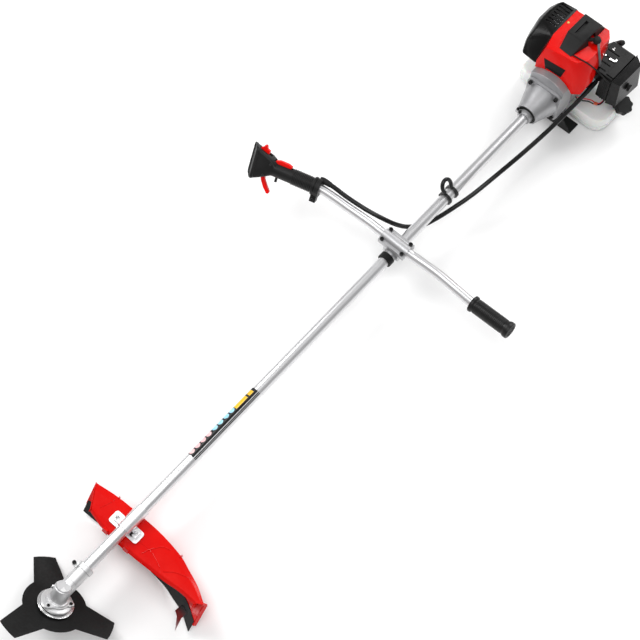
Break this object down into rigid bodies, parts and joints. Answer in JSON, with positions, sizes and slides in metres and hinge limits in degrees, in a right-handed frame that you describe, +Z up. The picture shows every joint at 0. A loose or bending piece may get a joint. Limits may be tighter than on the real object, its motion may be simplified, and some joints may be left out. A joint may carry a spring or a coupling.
{
  "type": "brush cutter",
  "caption": "Petrol brush cutter: toothed blade on an angled gear head, guard, straight shaft with cross handlebar and throttle grip, small engine with tank at the rear.",
  "frame": {"origin": "centre line of the machine on the flat underside of the tank stand's foot, which stands on the floor", "axes": "+Y along the shaft from the blade to the engine, +Z up, +X towards the operator's left hand, the side of the fuel cap"},
  "size_m": [0.7194, 1.9114, 0.254],
  "materials": {
    "aluminium_tube": "brushed, satin",
    "cast_aluminium": "as cast, bead blasted",
    "steel": "machined",
    "chrome": "plated",
    "blade_black": "matt black paint",
    "black_steel": "black coated",
    "black_plastic": "fine grained",
    "rubber": "matt",
    "red_plastic": "glossy, moulded",
    "tank_plastic": "translucent white, satin",
    "ceramic": "glazed"
  },
  "bodies": {
    "frame": {"gear_case": "cast_aluminium", "output_bearing": "steel", "bearing_cover": "cast_aluminium", "shaft_tube": "aluminium_tube", "shaft_liner": "black_plastic", "guard": "red_plastic", "guard_skirt": "black_plastic", "guard_bracket": "aluminium_tube", "guard_clamp": "aluminium_tube", "line_knife": "steel", "harness_hanger": "black_steel", "handlebar": "aluminium_tube", "handle_clamp_upper": "cast_aluminium", "handle_clamp_lower": "cast_aluminium", "handle_clamp_strap": "cast_aluminium", "tube_collar": "rubber", "plain_grip": "rubber", "throttle_grip": "black_plastic", "throttle_cable": "rubber", "tube_sleeve": "cast_aluminium", "rubber_damper": "rubber", "clutch_housing": "cast_aluminium", "fan_housing": "cast_aluminium", "crankcase": "cast_aluminium", "cylinder": "cast_aluminium", "piston": "cast_aluminium", "spark_plug": "ceramic", "cylinder_cover": "red_plastic", "plug_cover": "black_plastic", "plug_boot": "rubber", "muffler": "steel", "muffler_cover": "black_plastic", "carburettor": "cast_aluminium", "air_filter_case": "black_plastic", "air_filter_cover": "black_plastic", "starter_housing": "black_plastic", "fuel_tank": "tank_plastic", "tank_stand": "black_plastic"},
    "blade_train": {"output_shaft": "steel", "bevel_gear": "steel", "upper_flange": "chrome", "blade": "blade_black", "lower_flange": "chrome", "rider_cup": "steel", "blade_nut": "steel"},
    "drive_train": {"drive_shaft": "steel", "bevel_pinion": "steel", "clutch_drum": "steel"},
    "crank_train": {"crankshaft": "steel", "flywheel": "cast_aluminium", "clutch_shoes": "steel"},
    "trigger": {"throttle_trigger": "red_plastic"},
    "lockout": {"lockout_lever": "red_plastic"},
    "switch": {"stop_switch": "red_plastic"},
    "latch": {"latch_button": "black_plastic"},
    "carb_lever": {"carb_throttle_lever": "steel"},
    "choke": {"choke_lever": "black_plastic"},
    "filter_knob": {"filter_knob": "black_plastic"},
    "filler_cap": {"fuel_cap": "black_plastic"},
    "pull_handle": {"starter_handle": "black_plastic"}
  },
  "joints": [
    {"name": "drive_shaft_spin", "type": "hinge", "parent": "frame", "child": "drive_train", "pos_m": [0, -1.12, 0.1], "axis": [0, 1, 0], "continuous": true},
    {"name": "blade_spin", "type": "hinge", "parent": "frame", "child": "blade_train", "pos_m": [0, -1.62, 0.1], "axis": [0, 0.6004, 0.7997], "continuous": true},
    {"name": "crank_spin", "type": "hinge", "parent": "frame", "child": "crank_train", "pos_m": [0, 0.04, 0.1], "axis": [0, 1, 0], "continuous": true},
    {"name": "trigger_pull", "type": "hinge", "parent": "frame", "child": "trigger", "pos_m": [-0.3417, -0.63794, 0.12923], "axis": [0.2148, -0.7692, 0.6018], "range_deg": [0, 18], "stiffness_Nm_per_rad": 0.3, "springref_deg": -20.05},
    {"name": "lockout_press", "type": "hinge", "parent": "frame", "child": "lockout", "pos_m": [-0.32602, -0.60857, 0.16117], "axis": [-0.2148, 0.7692, -0.6018], "range_deg": [0, 4], "stiffness_Nm_per_rad": 0.2, "springref_deg": -11.46},
    {"name": "stop_switch_slide", "type": "slide", "parent": "frame", "child": "switch", "axis": [-0.9632, -0.2689, 0], "range_m": [0, 0.006]},
    {"name": "latch_press", "type": "slide", "parent": "frame", "child": "latch", "axis": [-0.1618, 0.5796, 0.7986], "range_m": [0, 0.0022], "stiffness_N_per_m": 400, "springref_m": -0.001},
    {"name": "carb_lever_turn", "type": "hinge", "parent": "frame", "child": "carb_lever", "pos_m": [0.074, 0.078, 0.1783], "axis": [0, 0, 1], "range_deg": [0, 45]},
    {"name": "choke_turn", "type": "hinge", "parent": "frame", "child": "choke", "pos_m": [0.062, 0.065, 0.1868], "axis": [0, 0, -1], "range_deg": [0, 60]},
    {"name": "filter_knob_turn", "type": "hinge", "parent": "frame", "child": "filter_knob", "pos_m": [0.14, 0.092, 0.143], "axis": [1, 0, 0], "range_deg": [0, 180]},
    {"name": "fuel_cap_turn", "type": "hinge", "parent": "frame", "child": "filler_cap", "pos_m": [0.14, 0.098, 0.053], "axis": [0.3605, 0.0501, 0.9314], "range_deg": [0, 180]},
    {"name": "starter_pull", "type": "slide", "parent": "frame", "child": "pull_handle", "axis": [0, 1, 0], "range_m": [0, 0.012], "stiffness_N_per_m": 150, "springref_m": -0.004}
  ],
  "couplings": [
    {"joint": "blade_spin", "follows": "drive_shaft_spin", "ratio": 0.73684},
    {"joint": "carb_lever_turn", "follows": "trigger_pull", "ratio": 2.5}
  ]
}
